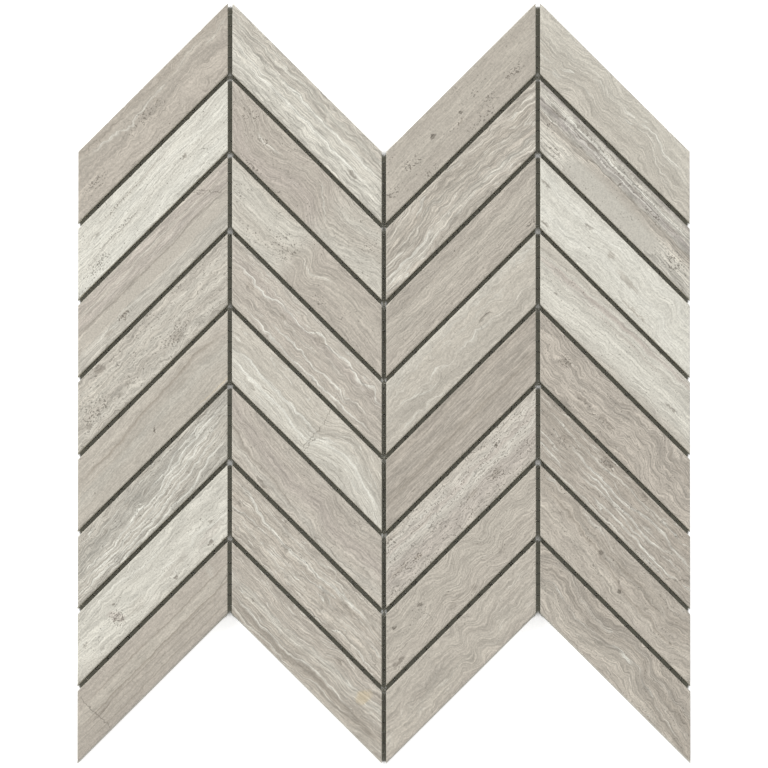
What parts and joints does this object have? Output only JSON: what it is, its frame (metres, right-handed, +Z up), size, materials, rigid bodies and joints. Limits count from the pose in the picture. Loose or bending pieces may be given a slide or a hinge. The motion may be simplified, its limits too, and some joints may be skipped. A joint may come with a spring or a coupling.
{
  "type": "chevron stone mosaic tile sheet",
  "caption": "Flat sheet of mitred marble strips laid in chevron columns on a glass-fibre mesh, with open joints and zigzag ends, for bonding to a wall or floor.",
  "frame": {"origin": "middle of the sheet's underside, where the mesh lies on the floor", "axes": "+Z up out of the polished face, +Y along the columns towards the sheet's upper points, +X across them"},
  "size_m": [0.2888, 0.3598, 0.01],
  "materials": {
    "marble_cream": "honed, vein cut",
    "marble_beige": "honed, vein cut",
    "marble_taupe": "honed, vein cut",
    "mesh_yarn": "coated glass fibre"
  },
  "bodies": {
    "root": {"chip_column_1_row_1": "marble_beige", "chip_column_1_row_2": "marble_cream", "chip_column_1_row_3": "marble_beige", "chip_column_1_row_4": "marble_beige", "chip_column_1_row_5": "marble_beige", "chip_column_1_row_6": "marble_beige", "chip_column_1_row_7": "marble_cream", "chip_column_1_row_8": "marble_beige", "chip_column_2_row_1": "marble_cream", "chip_column_2_row_2": "marble_beige", "chip_column_2_row_3": "marble_beige", "chip_column_2_row_4": "marble_beige", "chip_column_2_row_5": "marble_cream", "chip_column_2_row_6": "marble_beige", "chip_column_2_row_7": "marble_beige", "chip_column_2_row_8": "marble_beige", "chip_column_3_row_1": "marble_beige", "chip_column_3_row_2": "marble_beige", "chip_column_3_row_3": "marble_beige", "chip_column_3_row_4": "marble_beige", "chip_column_3_row_5": "marble_taupe", "chip_column_3_row_6": "marble_beige", "chip_column_3_row_7": "marble_beige", "chip_column_3_row_8": "marble_beige", "chip_column_4_row_1": "marble_beige", "chip_column_4_row_2": "marble_beige", "chip_column_4_row_3": "marble_cream", "chip_column_4_row_4": "marble_cream", "chip_column_4_row_5": "marble_taupe", "chip_column_4_row_6": "marble_taupe", "chip_column_4_row_7": "marble_taupe", "chip_column_4_row_8": "marble_taupe", "mesh_warp_yarns": "mesh_yarn", "mesh_weft_yarns": "mesh_yarn"}
  },
  "joints": []
}
